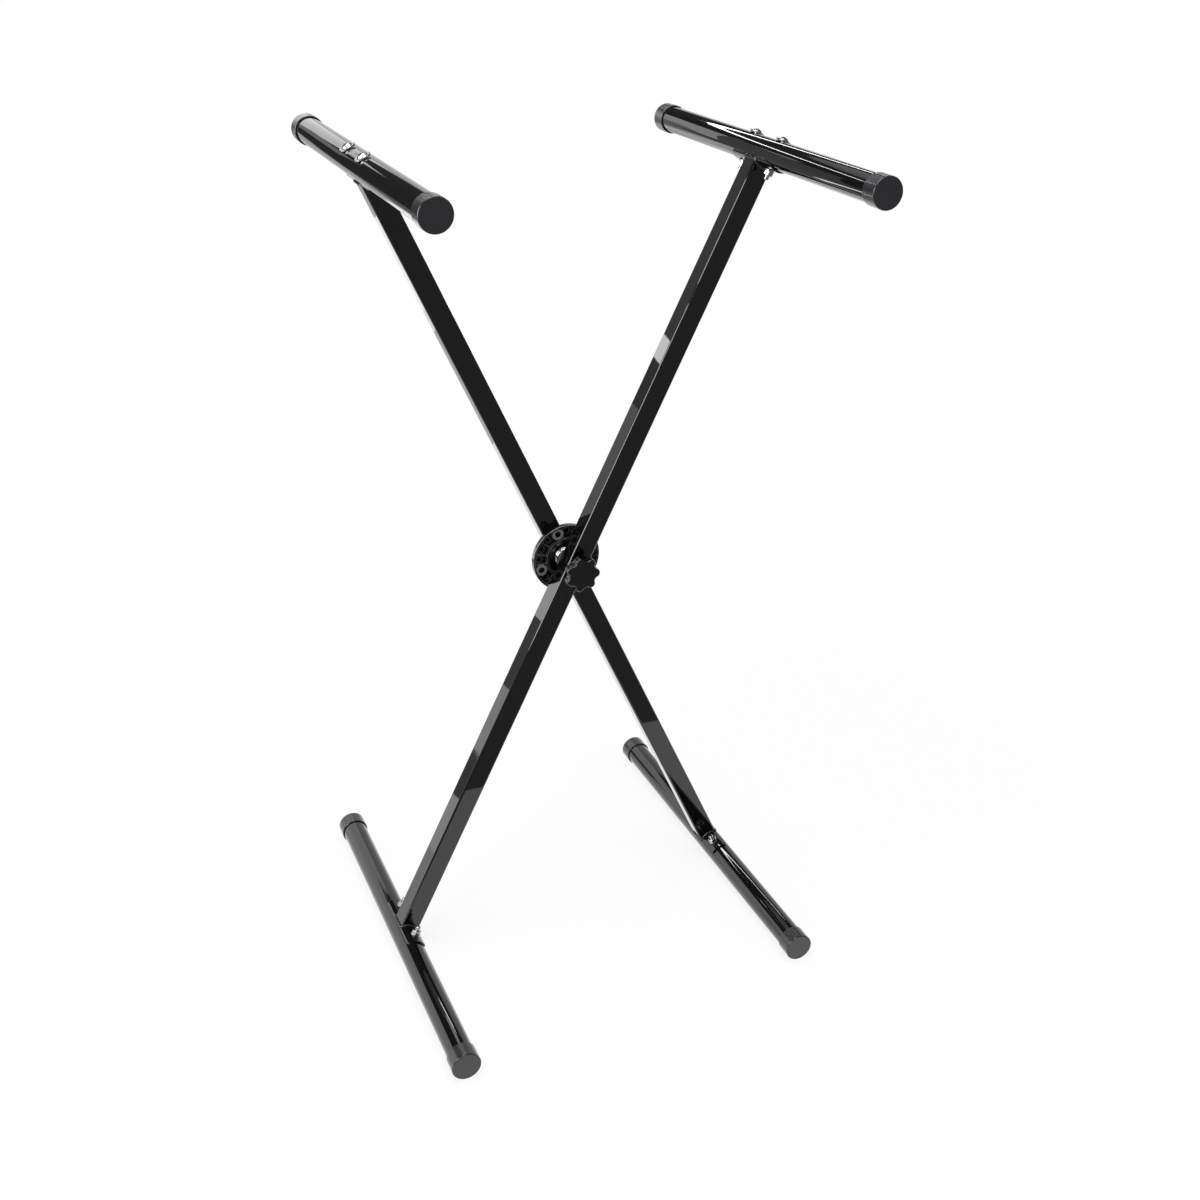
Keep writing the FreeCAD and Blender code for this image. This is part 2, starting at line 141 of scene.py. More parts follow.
def finish_surface(tree, output, base, metallic, ior, rough, rough_patch_mm, grain_mm, grain_depth_mm,
                   edge_mm):
    """Principled surface whose roughness drifts between two values over patches, with a fine relief and
    corners that are rounded to the eye."""
    place = add_node(tree, "ShaderNodeTexCoord")
    patches = add_node(tree, "ShaderNodeTexNoise",
                       values={"Scale": per_metre(rough_patch_mm), "Detail": 3.0, "Roughness": 0.55},
                       links={"Vector": place.outputs["Object"]})
    roughness = add_node(tree, "ShaderNodeMapRange",
                         values={"From Min": NOISE_LOW, "From Max": NOISE_HIGH,
                                 "To Min": rough[0], "To Max": rough[1]},
                         links={"Value": patches.outputs["Fac"]})
    grain = add_node(tree, "ShaderNodeTexNoise",
                     values={"Scale": per_metre(grain_mm), "Detail": 2.0, "Roughness": 0.5},
                     links={"Vector": place.outputs["Object"]})
    edge = add_node(tree, "ShaderNodeBevel", {"samples": EDGE_SAMPLES}, values={"Radius": edge_mm * MM})
    relief = add_node(tree, "ShaderNodeBump",
                      values={"Strength": 1.0, "Distance": grain_depth_mm * MM},
                      links={"Height": grain.outputs["Fac"], "Normal": edge.outputs["Normal"]})
    surface = add_node(tree, "ShaderNodeBsdfPrincipled",
                       values={"Base Color": base, "Metallic": metallic, "IOR": ior},
                       links={"Roughness": roughness.outputs["Result"], "Normal": relief.outputs["Normal"]})
    tree.links.new(surface.outputs["BSDF"], output.inputs["Surface"])
    return surface


# ---------------------------------------------------------------- materials

def gloss_powder_coat(finish):
    """Polyester powder coat, sprayed dry on steel tube and baked: a deep black mirror whose reflections
    waver a little, because the melted powder levels into a faint orange peel about 3 mm across."""
    material, tree, output = new_material("gloss_powder_coat_steel")
    finish_surface(tree, output, opaque(finish.coat_colour), 0.0, PLASTIC_IOR,
                   rough=(0.02, 0.045), rough_patch_mm=40, grain_mm=3.2, grain_depth_mm=0.003, edge_mm=0.35)
    return material


def coated_casting(finish, pad_plane):
    """The same powder coat on a zinc die casting: as black, but the cast skin under it shows as a coarser
    ripple. The raised pads and the rounded edges get a lighter grey painted in: a painted highlight
    standing in for the light these raised faces and edges catch."""
    material, tree, output = new_material("powder_coated_die_casting")
    surface = finish_surface(tree, output, opaque(finish.coat_colour), 0.0, PLASTIC_IOR,
                             rough=(0.10, 0.20), rough_patch_mm=9, grain_mm=2.0, grain_depth_mm=0.006,
                             edge_mm=0.6)
    # painted highlight: a lighter grey is painted on the raised pads and along the rounded edges, in place of
    # the light they catch
    pad_depth, highlight_edge_width = 0.25 * MM, 0.7 * MM
    least_bend = 0.96       # cosine between the flat face and its rounded edge
    place = add_node(tree, "ShaderNodeTexCoord")
    parts = add_node(tree, "ShaderNodeSeparateXYZ", links={0: place.outputs["Object"]})
    on_pad = add_node(tree, "ShaderNodeMath", {"operation": "COMPARE"},
                      values={1: pad_plane, 2: pad_depth}, links={0: parts.outputs["Y"]})
    rounded = add_node(tree, "ShaderNodeBevel", {"samples": 8}, values={"Radius": highlight_edge_width})
    facing = add_node(tree, "ShaderNodeNewGeometry")
    bend = add_node(tree, "ShaderNodeVectorMath", {"operation": "DOT_PRODUCT"},
                    links={0: rounded.outputs["Normal"], 1: facing.outputs["Normal"]})
    on_edge = add_node(tree, "ShaderNodeMath", {"operation": "LESS_THAN"}, values={1: least_bend},
                       links={0: bend.outputs["Value"]})
    painted_highlight_mask = add_node(tree, "ShaderNodeMath", {"operation": "MAXIMUM"},
                      links={0: on_pad.outputs[0], 1: on_edge.outputs[0]})
    # the grey 707072 is the painted highlight laid over the black coat
    colour = add_node(tree, "ShaderNodeMix", {"data_type": "RGBA"},
                      values={"A": opaque(finish.coat_colour), "B": linear("707072")},
                      links={"Factor": painted_highlight_mask.outputs[0]})
    tree.links.new(colour.outputs["Result"], surface.inputs["Base Color"])
    return material


def moulded_cap_plastic(finish):
    """Soft PVC, dip-moulded and slipped over the tube: satin black that turns hazy grey at a glancing
    angle, with a fine pimple from the mould."""
    material, tree, output = new_material("moulded_pvc_satin")
    finish_surface(tree, output, opaque(finish.cap_colour), 0.0, PLASTIC_IOR,
                   rough=(0.15, 0.24), rough_patch_mm=14, grain_mm=0.9, grain_depth_mm=0.002, edge_mm=0.5)
    return material


def moulded_knob_plastic(finish):
    """Glass-filled nylon from a spark-eroded mould: matt black with a fine even grain that keeps only a
    thin bright line on the edges."""
    material, tree, output = new_material("moulded_nylon_grained")
    finish_surface(tree, output, opaque(finish.knob_colour), 0.0, NYLON_IOR,
                   rough=(0.24, 0.32), rough_patch_mm=8, grain_mm=0.45, grain_depth_mm=0.004, edge_mm=0.5)
    return material


def bright_zinc(finish):
    """Bright zinc plate on cold-headed steel: a cool silver that is bright but not quite a mirror, with
    small dull patches where the plating is thin."""
    material, tree, output = new_material("bright_zinc_plated_steel")
    finish_surface(tree, output, opaque(finish.zinc_colour), 1.0, METAL_IOR,
                   rough=(0.14, 0.32), rough_patch_mm=2.5, grain_mm=0.6, grain_depth_mm=0.003, edge_mm=0.2)
    return material


def drawn_spring_wire():
    """Nickel-plated spring wire, drawn through a die: a brighter, smoother silver than the bolts."""
    material, tree, output = new_material("nickel_plated_spring_wire")
    finish_surface(tree, output, linear("DEDCD8"), 1.0, METAL_IOR,
                   rough=(0.08, 0.18), rough_patch_mm=3, grain_mm=0.4, grain_depth_mm=0.001, edge_mm=0.1)
    return material


def turned_steel():
    """Bare mild steel turned on a lathe: grey, with the dull sheen of fine feed marks."""
    material, tree, output = new_material("turned_mild_steel")
    finish_surface(tree, output, linear("A8A6A2"), 1.0, METAL_IOR,
                   rough=(0.26, 0.38), rough_patch_mm=4, grain_mm=0.25, grain_depth_mm=0.003, edge_mm=0.2)
    return material


def dress(nodes, material):
    """Gives CAD nodes a finish in every slot."""
    for name in nodes:
        for slot in frame["nodes"][name].material_slots:
            slot.material = material


def nodes_ending(*endings):
    """CAD nodes whose names end in one of the given words."""
    return [name for name in frame["nodes"] if name.endswith(endings)]


# ---------------------------------------------------------------- mesh helpers

def middle(node):
    """Middle of a CAD node's box."""
    low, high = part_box(node)
    return (low + high) / 2


def leg_axes(side):
    """Matrix from a leg's own axes, pivot at the origin and leg along Z, to its place, in metres."""
    top, bottom = middle(side + "_support_tube"), middle(side + "_foot_tube")
    up = (top - bottom).normalized()
    across = Vector((0, 1, 0))
    right = across.cross(up)
    turn = Matrix((right, across, up)).transposed().to_4x4()
    return Matrix.Translation((top + bottom) / 2) @ turn


def new_piece(name, bm, material):
    """Smooth-shaded object made from a bmesh in metres."""
    bmesh.ops.recalc_face_normals(bm, faces=bm.faces)
    mesh = bpy.data.meshes.new(name)
    bm.to_mesh(mesh)
    bm.free()
    mesh.shade_smooth()
    mesh.materials.append(material)
    piece = bpy.data.objects.new(name, mesh)
    bpy.context.scene.collection.objects.link(piece)
    return piece


def sweep(bm, points, radii, sides, closed):
    """Tube of varying radius along a list of points; an open one gets a round cap at each end."""
    count = len(points)
    normal = None
    rings = []
    for i, point in enumerate(points):
        before = points[i - 1] if closed or i else point
        after = points[(i + 1) % count] if closed or i + 1 < count else point
        along = (after - before).normalized()
        if normal is None:
            normal = along.orthogonal()
        normal = (normal - along * normal.dot(along)).normalized()
        other = along.cross(normal)
        turns = [2 * math.pi * k / sides for k in range(sides)]
        rings.append([bm.verts.new(point + (normal * math.cos(a) + other * math.sin(a)) * radii[i])
                      for a in turns])
    steps = range(count if closed else count - 1)
    shift = closing_shift(rings[-1], rings[0]) if closed else 0
    for i in steps:
        near, far = rings[i], rings[(i + 1) % count]
        turn = shift if i == count - 1 else 0
        for k in range(sides):
            corner = [near[k], near[(k + 1) % sides], far[(k + 1 + turn) % sides], far[(k + turn) % sides]]
            bm.faces.new(corner)
    if not closed:
        for ring, tip in ((rings[0], points[0]), (rings[-1], points[-1])):
            hub = bm.verts.new(tip)
            for k in range(sides):
                bm.faces.new([ring[k], ring[(k + 1) % sides], hub])


def closing_shift(last, first):
    """How many places the first ring is turned from the last one of a closed sweep."""
    gaps = [(first[k].co - last[0].co).length for k in range(len(first))]
    return gaps.index(min(gaps))


# ---------------------------------------------------------------- settings

class STAND_PG_finish(bpy.types.PropertyGroup):
    """Colours of the stand."""
    coat_colour: bpy.props.FloatVectorProperty(
        name="Powder coat", description="Colour of the coated steel", subtype="COLOR", size=3,
        min=0, max=1, default=linear("0A0A0B")[:3])
    cap_colour: bpy.props.FloatVectorProperty(
        name="End caps", description="Colour of the slip-over end caps", subtype="COLOR", size=3,
        min=0, max=1, default=linear("262629")[:3])
    knob_colour: bpy.props.FloatVectorProperty(
        name="Knob", description="Colour of the star knob", subtype="COLOR", size=3,
        min=0, max=1, default=linear("080809")[:3])
    zinc_colour: bpy.props.FloatVectorProperty(
        name="Plating", description="Colour of the plated bolts, nuts and washers", subtype="COLOR", size=3,
        min=0, max=1, default=linear("A2A5A9")[:3])


class STAND_PG_welds(bpy.types.PropertyGroup):
    """Sizes of the weld beads."""
    bead_radius: bpy.props.FloatProperty(
        name="Bead radius", description="Half width of a weld bead", subtype="DISTANCE", unit="LENGTH",
        default=2.0 * MM)
    ripple_pitch: bpy.props.FloatProperty(
        name="Ripple pitch", description="Distance between the ripples of a bead", subtype="DISTANCE",
        unit="LENGTH", default=2.2 * MM)
    ripple_depth: bpy.props.FloatProperty(
        name="Ripple depth", description="Share of the bead's radius that a ripple takes away",
        subtype="FACTOR", min=0, max=1, default=0.2)


class STAND_PG_spring(bpy.types.PropertyGroup):
    """Sizes of the clamp spring."""
    wire: bpy.props.FloatProperty(
        name="Wire", description="Diameter of the spring's wire", subtype="DISTANCE", unit="LENGTH",
        default=2.0 * MM)
    outside: bpy.props.FloatProperty(
        name="Outside diameter", description="Diameter over the coils", subtype="DISTANCE", unit="LENGTH",
        default=28.0 * MM)
    turns: bpy.props.FloatProperty(
        name="Turns", description="Turns of wire, with the closed ones at both ends", default=3.5)


class STAND_PG_studio(bpy.types.PropertyGroup):
    """Light and camera."""
    floor_size: bpy.props.FloatProperty(
        name="Floor", description="Side of the square floor", subtype="DISTANCE", unit="LENGTH", default=14.0)
    focal_length: bpy.props.FloatProperty(
        name="Focal length", description="Lens on a 36 mm wide sensor", unit="CAMERA",
        default=45.45)
    key_power: bpy.props.FloatProperty(
        name="Overhead light", description="Power of the overhead light", unit="POWER", default=60.0)


# ---------------------------------------------------------------- finishes of the CAD pieces

class STAND_OT_coat_steel(bpy.types.Operator):
    """Powder coats the legs, round tubes, saddles and locking disc"""
    bl_idname = "stand.coat_steel"
    bl_label = "Coat the steel"

    def execute(self, context):
        finish = context.scene.stand_finish
        dress(nodes_ending("_leg", "_tube", "_saddle"), gloss_powder_coat(finish))
        disc = frame["nodes"]["locking_disc"]
        rim_front = disc.matrix_world.inverted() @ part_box("locking_disc")[0]
        dress(["locking_disc"], coated_casting(finish, rim_front.y + PAD_BELOW_RIM * MM))
        return {"FINISHED"}


class STAND_OT_finish_mouldings(bpy.types.Operator):
    """Gives the end caps and the star knob their moulded finish"""
    bl_idname = "stand.finish_mouldings"
    bl_label = "Finish the mouldings"

    def execute(self, context):
        finish = context.scene.stand_finish
        dress(nodes_ending("_cap_front", "_cap_back"), moulded_cap_plastic(finish))
        dress(["knob"], moulded_knob_plastic(finish))
        return {"FINISHED"}


class STAND_OT_plate_fasteners(bpy.types.Operator):
    """Plates the bolts, nuts, washers and pins, and leaves the sleeves bare"""
    bl_idname = "stand.plate_fasteners"
    bl_label = "Plate the fasteners"

    def execute(self, context):
        finish = context.scene.stand_finish
        plated = nodes_ending("_bolts", "_nuts", "washers", "washer")
        dress(plated + ["pivot_bolt", "locking_pins", "knob_insert"], bright_zinc(finish))
        dress(nodes_ending("_sleeve"), turned_steel())
        return {"FINISHED"}


# ---------------------------------------------------------------- round tubes

class STAND_OT_roll_tubes(bpy.types.Operator):
    """Draws the four round tubes finely enough for a gloss coat"""
    bl_idname = "stand.roll_tubes"
    bl_label = "Roll the round tubes"

    sides = 240
    rim_slack = 1.1         # how much longer than one side of the outer rim an edge of a rim may be

    def execute(self, context):
        coat = bpy.data.materials["gloss_powder_coat_steel"]
        for side, body in FRAMES.items():
            for end in ENDS:
                name = "%s_%s_tube" % (side, end)
                tube = new_piece("rolled_" + name, self.pipe(*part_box(name)), coat)
                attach(tube, body)
                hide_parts(name)
        return {"FINISHED"}

    def pipe(self, low, high):
        """Hollow tube along Y that fills a box, with square-cut ends."""
        bm = bmesh.new()
        outer = (high.x - low.x) / 2
        inner = outer - TUBE_WALL * MM
        centre = (low + high) / 2
        rings = []
        for radius, y in ((outer, low.y), (outer, high.y), (inner, high.y), (inner, low.y)):
            turns = [2 * math.pi * k / self.sides for k in range(self.sides)]
            rings.append([bm.verts.new((centre.x + radius * math.cos(a), y, centre.z + radius * math.sin(a)))
                          for a in turns])
        for near, far in zip(rings, rings[1:] + rings[:1]):
            for k in range(self.sides):
                face = bm.faces.new([near[k - 1], near[k], far[k], far[k - 1]])
                for rim in face.edges:
                    rim.smooth = rim.calc_length() > self.rim_length(outer)
        return bm

    def rim_length(self, outer):
        """Longest edge of the square-cut rims, which stay sharp."""
        return 2 * math.pi * outer / self.sides * self.rim_slack


# ---------------------------------------------------------------- weld beads

def rounded_square(half, corner_r, step):
    """Points round a square with rounded corners, about a step apart, in metres."""
    flat = half - corner_r
    points = []
    for quarter in range(4):
        turn = quarter * math.pi / 2
        run = [Vector((half, y)) for y in spaced(-flat, flat, step)]
        bend = [Vector((flat + corner_r * math.cos(a), flat + corner_r * math.sin(a)))
                for a in spaced(0, math.pi / 2, step / corner_r)[1:-1]]
        for p in run + bend:
            points.append(Vector((p.x * math.cos(turn) - p.y * math.sin(turn),
                                  p.x * math.sin(turn) + p.y * math.cos(turn))))
    return points


def spaced(start, end, step):
    """Even steps from start to end, both included."""
    count = max(1, round(abs(end - start) / step))
    return [start + (end - start) * i / count for i in range(count + 1)]


def bead_radii(points, welds, rng, tapered):
    """Radius of a bead at each point: overlapping ripples, a slight unevenness and, if asked, thin ends."""
    thinnest, thickest, tip = 0.96, 1.04, 0.35
    radii = []
    run = 0.0
    length = sum((q - p).length for p, q in zip(points, points[1:]))
    for i, point in enumerate(points):
        run += (point - points[i - 1]).length if i else 0
        ripple = abs(math.sin(math.pi * run / welds.ripple_pitch))
        radius = welds.bead_radius * (1 - welds.ripple_depth * (1 - ripple)) * rng.uniform(thinnest, thickest)
        if tapered:
            radius *= min(1.0, tip + min(run, length - run) / (2 * welds.bead_radius))
        radii.append(radius)
    return radii


class STAND_OT_weld(bpy.types.Operator):
    """Lays the weld beads between legs, saddles and locking disc"""
    bl_idname = "stand.weld"
    bl_label = "Lay the weld beads"

    step = 0.45 * MM
    sides = 12
    seed = 7
    stitch_start = 20 * MM      # from the pivot, along the leg
    stitch_end = 38 * MM
    stitch_behind = 0.8 * MM    # bead's middle behind the leg's front face

    def execute(self, context):
        welds = context.scene.stand_welds
        coat = bpy.data.materials["gloss_powder_coat_steel"]
        rng = random.Random(self.seed)
        for side, body in FRAMES.items():
            place = leg_axes(side)
            for end, sign in ENDS.items():
                bm = bmesh.new()
                points = self.leg_end_path(side, sign)
                sweep(bm, points, bead_radii(points, welds, rng, False), self.sides, True)
                bead = new_piece("%s_%s_weld" % (side, end), bm, coat)
                self.settle(bead, place, body)
        self.stitch_disc(welds, coat, rng)
        return {"FINISHED"}

    def leg_end_path(self, side, sign):
        """Line where a leg's end meets its saddle, in the leg's own axes."""
        low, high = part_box(side + "_leg")
        half = (high.y - low.y) / 2
        reach = (middle(side + "_support_tube") - middle(side + "_foot_tube")).length / 2
        outer = SADDLE_OUT_R * MM
        path = []
        for p in rounded_square(half, LEG_CORNER_R * MM, self.step):
            path.append(Vector((sign * p.x, p.y, sign * (reach - math.sqrt(outer ** 2 - p.x ** 2)))))
        return path

    def stitch_disc(self, welds, coat, rng):
        """Four short beads between the locking disc's back and the sides of the rear leg."""
        place = leg_axes("rear")
        low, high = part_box("rear_leg")
        half = (high.y - low.y) / 2
        bm = bmesh.new()
        for x in (-half, half):
            for sign in (-1, 1):
                heights = spaced(self.stitch_start, self.stitch_end, self.step)
                points = [Vector((x, -half + self.stitch_behind, sign * z)) for z in heights]
                sweep(bm, points, bead_radii(points, welds, rng, True), self.sides, False)
        self.settle(new_piece("locking_disc_welds", bm, coat), place, "rear_frame")

    def settle(self, bead, place, body):
        """Puts a bead made in a leg's own axes on the stand."""
        bead.data.transform(place)
        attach(bead, body)


# ---------------------------------------------------------------- clamp spring

class STAND_OT_wind_spring(bpy.types.Operator):
    """Winds the clamp spring between the locking disc and the front leg"""
    bl_idname = "stand.wind_spring"
    bl_label = "Wind the spring"

    points_per_turn = 56
    sides = 14
    closed_turns = 0.75
    opening_turns = 0.25
    closed_pitch = 1.02     # as times the wire

    def execute(self, context):
        spring = context.scene.stand_spring
        low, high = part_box("pivot_spring")
        axis = (low + high) / 2
        wire_r = spring.wire / 2
        coil_r = spring.outside / 2 - wire_r
        points = []
        for i, rise in enumerate(self.rises(spring, high.y - low.y - spring.wire)):
            a = 2 * math.pi * i / self.points_per_turn
            points.append(Vector((axis.x + coil_r * math.cos(a), low.y + wire_r + rise,
                                  axis.z + coil_r * math.sin(a))))
        bm = bmesh.new()
        sweep(bm, points, [wire_r] * len(points), self.sides, False)
        piece = new_piece("clamp_spring", bm, drawn_spring_wire())
        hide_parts("pivot_spring")
        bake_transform(piece)
        return {"FINISHED"}

    def rises(self, spring, length):
        """Place along the axis of each point of the wire: closed coils at both ends, open ones between."""
        openings = [self.opening(i / self.points_per_turn, spring)
                    for i in range(int(spring.turns * self.points_per_turn))]
        closed_rise = spring.wire * self.closed_pitch / self.points_per_turn
        open_rise = (length - closed_rise * len(openings)) / sum(openings)
        rises = [0.0]
        for share in openings:
            rises.append(rises[-1] + closed_rise + open_rise * share)
        return rises

    def opening(self, turn, spring):
        """Share of the open pitch at a place along the wire: none over the closed turns at the ends."""
        from_end = min(turn, spring.turns - turn) - self.closed_turns
        share = min(1.0, max(0.0, from_end / self.opening_turns))
        return share * share * (3 - 2 * share)


# ---------------------------------------------------------------- studio

class STAND_OT_set_studio(bpy.types.Operator):
    """Sets the pale floor, the soft light, the cards for the gloss and the camera"""
    bl_idname = "stand.set_studio"
    bl_label = "Set the studio"

    # camera found by matching the photograph: its place from the pivot in millimetres, how far it is
    # turned, tilted and rolled past the line to the pivot in degrees, and its lens shift in frame widths
    camera_from_pivot = (-638.8, -1560.4, 778.7)
    camera_turn = 1.369
    camera_tilt = 1.253
    camera_roll = 1.199
    camera_rise = -0.0625
    sensor_width = 36

    # floor: share of pure white near the stand, and where it starts and ends to rise to all of it
    floor_near_white = 0.86
    floor_fade_start = 0.5
    floor_fade_end = 1.3

    # light that reaches the stand; lengths in metres
    fill_strength = 0.55
    overhead_side = 1.6
    overhead_place = (-0.4, -0.2, 2.6)
    overhead_aim = (0, 0, 0.5)

    # what the gloss sees, as times white; lengths in metres
    room_radius = 6.0
    room_segments = 48
    wall_behind = 0.06
    wall_ahead = 0.26
    wall_fade = 1.5         # half the depth over which the walls change

    # name, two opposite corners in metres and brightness of each flat card
    cards = (
        ("sweep_left", (-3.2, -0.345, 0.002), (-0.6, 2.0, 0.002), 1.9),
        ("sweep", (-0.6, -0.345, 0.002), (3.2, 2.0, 0.002), 1.4),
        ("backdrop", (-3.2, 2.0, 0.0), (0.15, 2.0, 1.62), 1.8),
        ("backdrop_right", (0.15, 2.0, 0.0), (3.2, 2.0, 1.62), 0.9),
        ("backdrop_low", (-0.75, 1.98, 0.25), (0.1, 1.98, 0.95), 0.8),
        ("flag_low", (-1.35, 1.97, 0.0), (-0.6, 1.97, 0.62), 0.3),
        ("flag_floor", (-1.3, 1.0, 0.004), (-0.35, 1.97, 0.004), 0.3),
        ("strip_behind", (-1.6, 1.99, 2.02), (1.6, 1.99, 2.07), 16.0),
        ("softbox_behind", (-1.2, 2.0, 2.35), (0.9, 2.0, 3.0), 0.7),
        ("softbox_left", (-1.6, -1.2, 0.62), (-1.6, 0.6, 1.9), 9.0),
        ("flag_left", (-1.3, 1.0, 0.74), (-0.42, 1.0, 1.8), 0.06),
        ("strip_left", (-0.52, 0.99, 1.04), (-0.40, 0.99, 1.16), 0.5),
        ("leg_card_top", (-0.06, 0.2, 0.812), (0.14, 0.2, 1.06), 0.38),
        ("leg_strip", (-0.06, 0.2, 0.782), (0.06, 0.2, 0.812), 5.8),
        ("leg_flag", (-0.12, 0.2, 0.72), (0.05, 0.2, 0.782), 0.26),
        ("leg_card", (-0.16, 0.2, 0.56), (0.0, 0.2, 0.72), 0.8),
        ("leg_card_low", (-0.24, 0.2, 0.425), (-0.10, 0.2, 0.52), 2.7),
        ("leg_flag_low", (-0.30, 0.2, 0.325), (-0.15, 0.2, 0.425), 0.38),
    )

    def execute(self, context):
        studio = context.scene.stand_studio
        self.lay_floor(studio)
        self.light_world(context)
        self.darken_room()
        self.hang_cards()
        self.place_lights(studio)
        self.place_camera(context, studio)
        context.scene.view_settings.view_transform = "Standard"
        return {"FINISHED"}

    def lay_floor(self, studio):
        """Pale floor that turns pure white away from the stand and keeps its shadow near it."""
        bm = bmesh.new()
        bmesh.ops.create_grid(bm, x_segments=1, y_segments=1, size=studio.floor_size / 2)
        material, tree, output = new_material("matt_white_floor")
        seen = seen_factor(tree)
        place = add_node(tree, "ShaderNodeTexCoord")
        away = add_node(tree, "ShaderNodeVectorMath", {"operation": "LENGTH"},
                        links={0: place.outputs["Object"]})
        share = add_node(tree, "ShaderNodeMapRange", {"interpolation_type": "SMOOTHSTEP"},
                         values={"From Min": self.floor_fade_start, "From Max": self.floor_fade_end,
                                 "To Min": self.floor_near_white, "To Max": 1.0},
                         links={"Value": away.outputs["Value"]})
        white_share = add_node(tree, "ShaderNodeMath", {"operation": "MULTIPLY"},
                               links={0: seen, 1: share.outputs["Result"]})
        plain = add_node(tree, "ShaderNodeBsdfDiffuse", values={"Color": linear("E9E9E9")})
        white = add_node(tree, "ShaderNodeEmission", values={"Color": linear("FFFFFF"), "Strength": 1.0})
        mixed = add_node(tree, "ShaderNodeMixShader", links={
            0: white_share.outputs[0], 1: plain.outputs[0], 2: white.outputs[0]})
        tree.links.new(mixed.outputs[0], output.inputs["Surface"])
        floor = new_piece("floor", bm, material)
        floor.visible_glossy = False

    def light_world(self, context):
        """White where the backdrop is seen and a softer white as fill light."""
        world = bpy.data.worlds.new("studio")
        context.scene.world = world
        world.use_nodes = True
        tree = world.node_tree
        tree.nodes.clear()
        fill = add_node(tree, "ShaderNodeBackground",
                        values={"Color": linear("FFFFFF"), "Strength": self.fill_strength})
        white = add_node(tree, "ShaderNodeBackground", values={"Color": linear("FFFFFF"), "Strength": 1.0})
        mixed = add_node(tree, "ShaderNodeMixShader", links={
            0: seen_factor(tree), 1: fill.outputs[0], 2: white.outputs[0]})
        add_node(tree, "ShaderNodeOutputWorld", links={"Surface": mixed.outputs[0]})

    def darken_room(self):
        """Dim walls all round, a little lighter in front, seen only in the stand's gloss."""
        bm = bmesh.new()
        bmesh.ops.create_uvsphere(bm, u_segments=self.room_segments, v_segments=self.room_segments // 2,
                                  radius=self.room_radius)
        material, tree, output = new_material("dim_studio_wall")
        place = add_node(tree, "ShaderNodeTexCoord")
        parts = add_node(tree, "ShaderNodeSeparateXYZ", links={0: place.outputs["Object"]})
        level = add_node(tree, "ShaderNodeMapRange", {"interpolation_type": "SMOOTHSTEP"},
                         values={"From Min": self.wall_fade, "From Max": -self.wall_fade,
                                 "To Min": self.wall_behind, "To Max": self.wall_ahead},
                         links={"Value": parts.outputs["Y"]})
        glow = add_node(tree, "ShaderNodeEmission", values={"Color": linear("FFFFFF")},
                        links={"Strength": level.outputs["Result"]})
        tree.links.new(glow.outputs[0], output.inputs["Surface"])
        room = new_piece("studio_walls", bm, material)
        only_in_gloss(room)

    def hang_cards(self):
        """White cards, softboxes and black flags, seen only in the stand's gloss."""
        for name, low, high, level in self.cards:
            bm = bmesh.new()
            bm.faces.new([bm.verts.new(corner) for corner in flat_corners(Vector(low), Vector(high))])
            material, tree, output = new_material("card_" + name)
            glow = add_node(tree, "ShaderNodeEmission",
                            values={"Color": linear("FFFFFF"), "Strength": level})
            tree.links.new(glow.outputs[0], output.inputs["Surface"])
            card = new_piece(name, bm, material)
            only_in_gloss(card)

    def pivot(self):
        """Middle of the crossing."""
        x, _, z = middle("pivot_bolt")
        return Vector((x, 0, z))

    def place_lights(self, studio):
        """Soft overhead light."""
        lamp = bpy.data.lights.new("overhead", "AREA")
        lamp.shape = "RECTANGLE"
        lamp.size = self.overhead_side
        lamp.size_y = self.overhead_side
        lamp.energy = studio.key_power
        light = bpy.data.objects.new("overhead", lamp)
        light.location = self.overhead_place
        down = Vector(self.overhead_aim) - light.location
        light.rotation_euler = down.to_track_quat("-Z", "Y").to_euler()
        bpy.context.scene.collection.objects.link(light)

    def place_camera(self, context, studio):
        """Camera at the photograph's angle."""
        offset = Vector(self.camera_from_pivot) * MM
        aim = -offset.normalized()
        azimuth = math.atan2(aim.x, aim.y) + math.radians(self.camera_turn)
        elevation = math.asin(aim.z) + math.radians(self.camera_tilt)
        ahead = Vector((math.sin(azimuth) * math.cos(elevation), math.cos(azimuth) * math.cos(elevation),
                        math.sin(elevation)))
        right = Vector((math.cos(azimuth), -math.sin(azimuth), 0))
        turn = Matrix((right, right.cross(ahead), -ahead)).transposed()
        roll = Matrix.Rotation(math.radians(self.camera_roll), 3, "Z")
        lens = bpy.data.cameras.new("camera")
        lens.sensor_width = self.sensor_width
        lens.lens = studio.focal_length
        lens.shift_y = self.camera_rise
        camera = bpy.data.objects.new("camera", lens)
        camera.matrix_world = Matrix.Translation(self.pivot() + offset) @ (turn @ roll).to_4x4()
        context.scene.collection.objects.link(camera)
        context.scene.camera = camera


def seen_factor(tree):
    """1 for what the camera sees, directly or by reflection or through glass, and 0 for light cast."""
    path = add_node(tree, "ShaderNodeLightPath")
    mirrored = add_node(tree, "ShaderNodeMath", {"operation": "MAXIMUM"}, links={
        0: path.outputs["Is Camera Ray"], 1: path.outputs["Is Glossy Ray"]})
    either = add_node(tree, "ShaderNodeMath", {"operation": "MAXIMUM"}, links={
        0: mirrored.outputs[0], 1: path.outputs["Is Transmission Ray"]})
    return either.outputs[0]


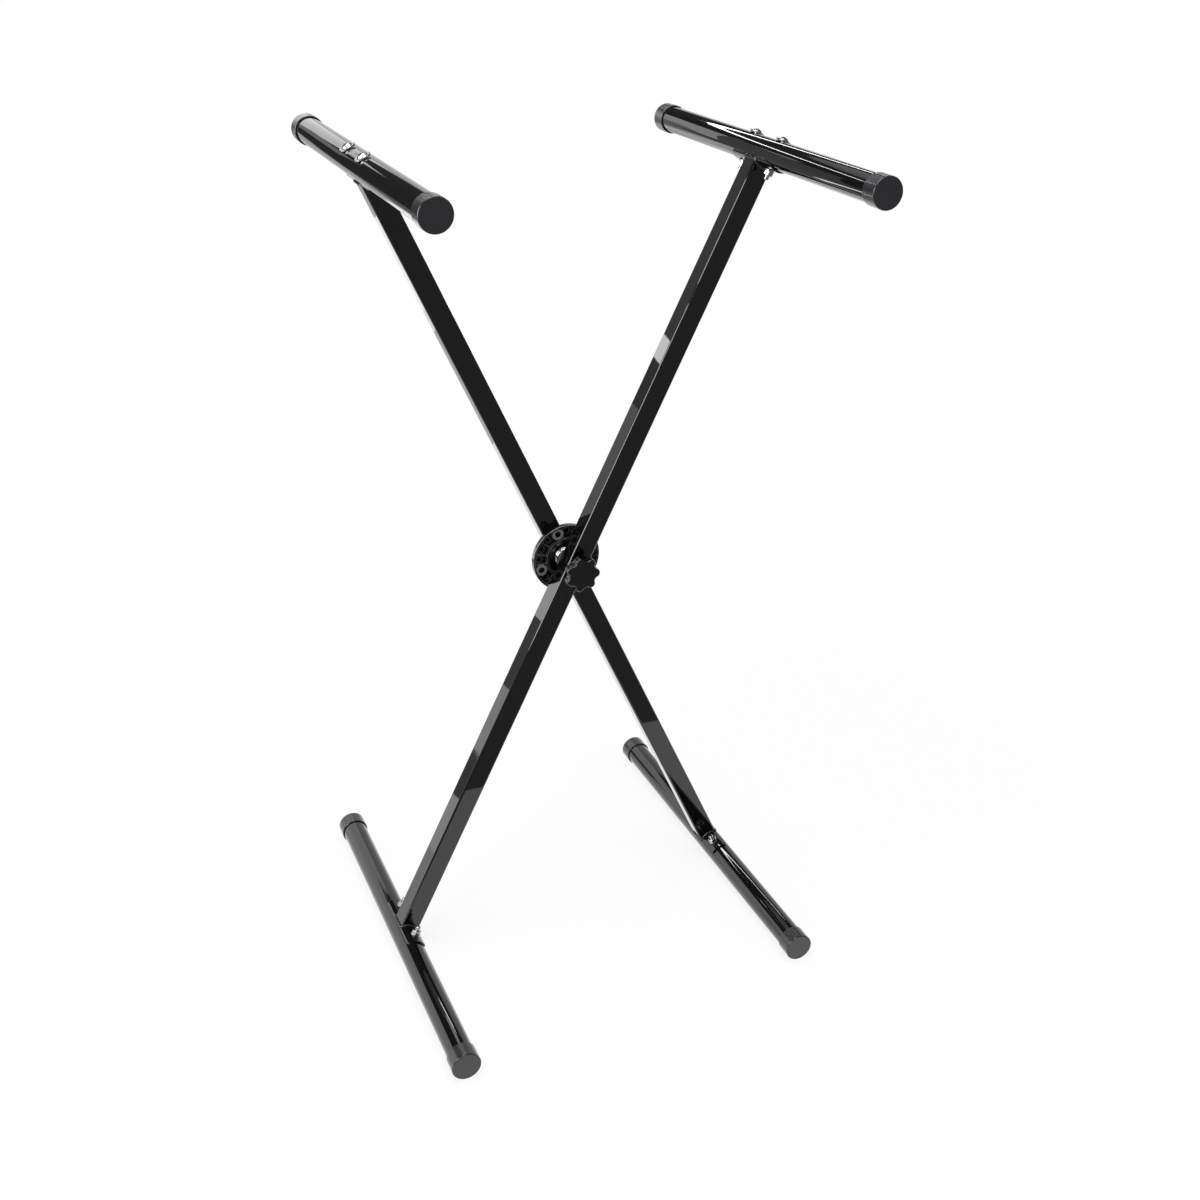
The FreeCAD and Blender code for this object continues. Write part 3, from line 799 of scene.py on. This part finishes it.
def flat_corners(low, high):
    """The four corners, in turn, of an axis-aligned rectangle given by two opposite ones."""
    across, along = [axis for axis in range(3) if low[axis] != high[axis]]
    second, fourth = low.copy(), low.copy()
    second[across] = high[across]
    fourth[along] = high[along]
    return low, second, high, fourth


def only_in_gloss(piece):
    """Hides a studio card from the camera and from the light, so that only reflections show it."""
    piece.visible_camera = False
    piece.visible_diffuse = False
    piece.visible_transmission = False
    piece.visible_volume_scatter = False
    piece.visible_shadow = False


# ---------------------------------------------------------------- panel and registration

class STAND_PT_panel(bpy.types.Panel):
    """Lists the stand's settings and steps"""
    bl_idname = "STAND_PT_panel"
    bl_label = "Keyboard stand"
    bl_space_type = "VIEW_3D"
    bl_region_type = "UI"
    bl_category = "Stand"

    def draw(self, context):
        scene = context.scene
        for group in (scene.stand_finish, scene.stand_welds, scene.stand_spring, scene.stand_studio):
            box = self.layout.box()
            for name in group.bl_rna.properties.keys():
                if name not in ("rna_type", "name"):
                    box.prop(group, name)
        for operator in OPERATORS:
            self.layout.operator(operator.bl_idname)


SETTINGS = {"stand_finish": STAND_PG_finish, "stand_welds": STAND_PG_welds,
            "stand_spring": STAND_PG_spring, "stand_studio": STAND_PG_studio}
OPERATORS = (STAND_OT_coat_steel, STAND_OT_finish_mouldings, STAND_OT_plate_fasteners, STAND_OT_roll_tubes,
             STAND_OT_weld, STAND_OT_wind_spring, STAND_OT_set_studio)
CLASSES = tuple(SETTINGS.values()) + OPERATORS + (STAND_PT_panel,)


def register():
    """Registers the classes and hangs the settings on the scene."""
    for cls in CLASSES:
        bpy.utils.register_class(cls)
    for name, group in SETTINGS.items():
        setattr(bpy.types.Scene, name, bpy.props.PointerProperty(type=group))


def unregister():
    """Undoes register."""
    for name in SETTINGS:
        delattr(bpy.types.Scene, name)
    for cls in reversed(CLASSES):
        bpy.utils.unregister_class(cls)


def main():
    """Dresses the stand."""
    register()
    bpy.ops.stand.coat_steel()
    bpy.ops.stand.finish_mouldings()
    bpy.ops.stand.plate_fasteners()
    bpy.ops.stand.roll_tubes()
    bpy.ops.stand.weld()
    bpy.ops.stand.wind_spring()
    bpy.ops.stand.set_studio()


if __name__ == "__main__":
    main()
